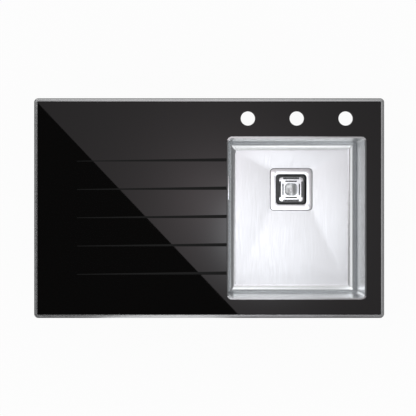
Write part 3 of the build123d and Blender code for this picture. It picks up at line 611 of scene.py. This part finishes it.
def card(name, middle, size, facing, finish):
    """Rectangle around a middle, turned to face a direction, with one finish."""
    form = bmesh.new()
    bmesh.ops.create_grid(form, x_segments=1, y_segments=1, size=0.5)
    bmesh.ops.scale(form, vec=(size[0], size[1], 1), verts=form.verts)
    turn = Vector(facing).to_track_quat("Z", "Y").to_matrix()
    bmesh.ops.rotate(form, verts=form.verts, cent=(0, 0, 0), matrix=turn)
    bmesh.ops.translate(form, vec=middle, verts=form.verts)
    mesh = bpy.data.meshes.new(name)
    form.to_mesh(mesh)
    form.free()
    mesh.materials.append(finish)
    sheet = bpy.data.objects.new(name, mesh)
    bpy.context.scene.collection.objects.link(sheet)
    return sheet


def looked_at(tree):
    """Socket that is 1 for rays of the camera, of a mirror and through glass, and 0 for light."""
    path = add_node(tree, "ShaderNodeLightPath")
    seen = add_node(
        tree,
        "ShaderNodeMath",
        {0: path.outputs["Is Camera Ray"], 1: path.outputs["Is Glossy Ray"]},
        operation="MAXIMUM",
    )
    return add_node(
        tree,
        "ShaderNodeMath",
        {0: seen.outputs["Value"], 1: path.outputs["Is Transmission Ray"]},
        operation="MAXIMUM",
    ).outputs["Value"]


# %% Floor
floor_level = cad_low.z - 1 * mm
floor_side = 16
glowing_share = 0.94
floor_paint, tree = new_finish("pale_floor")
share = add_node(
    tree, "ShaderNodeMath", {0: looked_at(tree), 1: glowing_share}, operation="MULTIPLY"
)
matt = add_node(tree, "ShaderNodeBsdfDiffuse", {"Color": linear("#ededed")})
white = add_node(tree, "ShaderNodeEmission", {"Color": linear("#ffffff"), "Strength": 1.0})
mixed = add_node(
    tree,
    "ShaderNodeMixShader",
    {0: share.outputs["Value"], 1: matt.outputs["BSDF"], 2: white.outputs["Emission"]},
)
add_node(tree, "ShaderNodeOutputMaterial", {"Surface": mixed.outputs["Shader"]})
card("floor", (0, 0, floor_level), (floor_side, floor_side), (0, 0, 1), floor_paint)
print("floor at", round(floor_level, 4))

# %% [markdown]
# ## Cards overhead
# The glass is a mirror, so what hangs overhead makes its picture: a bright card at the right
# and back, a dark card at the left and front, and a straight edge between them. A point of the
# glass mirrors the card's point that lies as much further out as the card is higher, so the
# cards can be drawn by the places on the glass where their light has to show.

# %% Helpers for a glowing card
card_height = 4.2
card_level = glass_level + card_height
mirror_reach = 1 + card_height / camera_height
camera_plan = camera.location.to_2d()


def overhead(x, y):
    """Point of the overhead plane that a point of the glass mirrors."""
    away = (Vector((x, y)) - camera_plan) * mirror_reach
    return Vector((camera_plan.x + away.x, camera_plan.y + away.y, card_level))


def glow(name, colour, strength, spots=()):
    """Even glow, with spots that fade from their middle as the light of a lamp does."""
    finish, tree = new_finish(name)
    total = add_node(
        tree, "ShaderNodeEmission", {"Color": linear(colour), "Strength": strength}
    ).outputs["Emission"]
    for spot_colour, spot_strength, middle, radius, fall in spots:
        place = add_node(tree, "ShaderNodeTexCoord")
        away = add_node(
            tree,
            "ShaderNodeVectorMath",
            {0: place.outputs["Object"], 1: middle},
            operation="DISTANCE",
        ).outputs["Value"]
        share = add_node(
            tree, "ShaderNodeMath", {0: away, 1: radius}, operation="DIVIDE"
        ).outputs["Value"]
        power = add_node(
            tree, "ShaderNodeMath", {0: share, 1: fall}, operation="POWER"
        ).outputs["Value"]
        under = add_node(
            tree, "ShaderNodeMath", {0: power, 1: 1.0}, operation="ADD"
        ).outputs["Value"]
        level = add_node(
            tree, "ShaderNodeMath", {0: spot_strength, 1: under}, operation="DIVIDE"
        ).outputs["Value"]
        light = add_node(
            tree, "ShaderNodeEmission", {"Color": linear(spot_colour), "Strength": level}
        ).outputs["Emission"]
        total = add_node(tree, "ShaderNodeAddShader", {0: total, 1: light}).outputs["Shader"]
    add_node(tree, "ShaderNodeOutputMaterial", {"Surface": total})
    return finish


def cut_card(sheet, start, end, keep_front):
    """Cuts an overhead card along a line and keeps one side."""
    form = bmesh.new()
    form.from_mesh(sheet.data)
    bmesh.ops.bisect_plane(
        form,
        geom=form.verts[:] + form.edges[:] + form.faces[:],
        plane_co=start,
        plane_no=(end.y - start.y, start.x - end.x, 0),
        clear_outer=keep_front,
        clear_inner=not keep_front,
    )
    form.to_mesh(sheet.data)
    form.free()


# %% Bright and dark card
card_size = (2.14, 1.3)
card_middle = (*camera_plan, card_level)
# The edge between the two cards shows on the glass from its back left to its front middle.
edge_start = overhead(-0.4198, 0.2575)
edge_end = overhead(0.0388, -0.2264)
# Each spot: colour, strength, middle, radius at which it has half its strength, steepness.
glass_spot = ("#ffeef3", 1.0, overhead(0.012, 0.014), 0.33, 2.0)
bowl_spot = ("#f2faff", 2.2, overhead(0.145, -0.06), 0.29, 6.0)
bright_glow = glow("bright_card_glow", "#fffafc", 0.4, (glass_spot, bowl_spot))
dark_glow = glow("dark_card_glow", "#fff4f0", 0.04)
bright_card = card("bright_card", card_middle, card_size, (0, 0, -1), bright_glow)
dark_card = card("dark_card", card_middle, card_size, (0, 0, -1), dark_glow)
cut_card(bright_card, edge_start, edge_end, True)
cut_card(dark_card, edge_start, edge_end, False)
stage_cards = [bright_card, dark_card]
print("overhead cards", round(card_level, 3), "m up")

# %% [markdown]
# ## Strips and panels round the sink
# The rim's flat top mirrors a strip just outside those cards, its bevel mirrors what stands
# beside the sink near the floor, and the grooves and the knob mirror the walls of the room above
# that. So do the back and front walls of the bowl, by way of its rounded foot, from the opposite
# side of the room. Strips overhead and upright panels at each side set their greys.

# %% Strips overhead for the top of the rim
strip_width = 0.5
half_length, half_width = card_size[0] / 2, card_size[1] / 2
far_x, far_y = half_length + strip_width, half_width + strip_width
front_start, front_end = -0.52, 0.06
# Each strip: low corner and high corner from below the camera, strength.
strips = {
    "right_strip": ((half_length, -far_y), (far_x, far_y), 0.3),
    "left_strip": ((-far_x, -far_y), (-half_length, far_y), 0.12),
    "back_strip": ((-half_length, half_width), (half_length, far_y), 0.6),
    "front_strip_left": ((-half_length, -far_y), (front_start, -half_width), 0.1),
    "front_strip": ((front_start, -far_y), (front_end, -half_width), 1.1),
    "front_strip_right": ((front_end, -far_y), (half_length, -half_width), 0.1),
}
for name, (low_corner, high_corner, strength) in strips.items():
    low_corner, high_corner = Vector(low_corner), Vector(high_corner)
    middle = camera_plan + (low_corner + high_corner) / 2
    size = high_corner - low_corner
    finish = glow(name + "_glow", "#ffffff", strength)
    stage_cards.append(card(name, (*middle, card_level), size, (0, 0, -1), finish))
print(len(strips), "strips overhead")

# %% Panels beside the sink for the bevel, the grooves, the knob and the bowl's walls
panel_distance = 1.5
panel_split = 0.7
below_split = (floor_level, panel_split)
above_split = (panel_split, card_level)
right, left, back, front = (1, 0), (-1, 0), (0, 1), (0, -1)
# Each panel: side of the sink, start and end along that side, foot and top, strength.
panels = {
    "right_low": (right, (-1.5, 1.5), below_split, 0.25),
    "right_high": (right, (-1.5, 1.5), above_split, 0.15),
    "left_low": (left, (-1.5, 1.5), below_split, 0.1),
    "left_high": (left, (-1.5, 1.5), above_split, 0.9),
    "back_low": (back, (-1.5, 1.5), below_split, 0.35),
    "back_high": (back, (-1.5, 0.4), above_split, 1.6),
    "back_high_right": (back, (0.4, 1.5), above_split, 0.2),
    "front_low_left": (front, (-1.5, -0.4), below_split, 0.1),
    "front_low": (front, (-0.4, 0.06), below_split, 0.8),
    "front_low_right": (front, (0.06, 1.5), below_split, 0.1),
    "front_high_left": (front, (-1.5, 0.22), above_split, 0.28),
    "front_high": (front, (0.22, 0.5), above_split, 2.1),
    "front_high_right": (front, (0.5, 1.5), above_split, 0.4),
}
for name, ((x, y), (start, end), (foot, top), strength) in panels.items():
    slide = (start + end) / 2
    middle = (
        x * panel_distance + abs(y) * slide,
        y * panel_distance + abs(x) * slide,
        (foot + top) / 2,
    )
    finish = glow(name + "_glow", "#ffffff", strength)
    stage_cards.append(card(name, middle, (end - start, top - foot), (-x, -y, 0), finish))
print(len(panels), "panels beside the sink")

# %% [markdown]
# The cards are there for the mirrors only. Hidden from the camera, from diffuse light and from
# shadows, they leave the floor and the matt pieces as they are and stand in no view's way.

# %% Show the cards to mirrors only
for each in stage_cards:
    each.visible_camera = False
    each.visible_diffuse = False
    each.visible_shadow = False
print(len(stage_cards), "cards in all")

# %% [markdown]
# ## World
# An even white sky lights the floor and the matt pieces softly from all sides. It is drawn at
# full white for the rays that look at it and lights a little less, so the pale pieces keep
# their shape.

# %% World
light_strength = 0.8
world = bpy.data.worlds.new("studio")
bpy.context.scene.world = world
world.use_nodes = True
tree = world.node_tree
tree.nodes.clear()
white_light = linear("#ffffff")
soft = add_node(tree, "ShaderNodeBackground", {"Color": white_light, "Strength": light_strength})
backdrop = add_node(tree, "ShaderNodeBackground", {"Color": white_light, "Strength": 1.0})
mixed = add_node(
    tree,
    "ShaderNodeMixShader",
    {0: looked_at(tree), 1: soft.outputs["Background"], 2: backdrop.outputs["Background"]},
)
add_node(tree, "ShaderNodeOutputWorld", {"Surface": mixed.outputs["Shader"]})
bpy.context.scene.view_settings.view_transform = "Standard"
print("world lights at", light_strength)
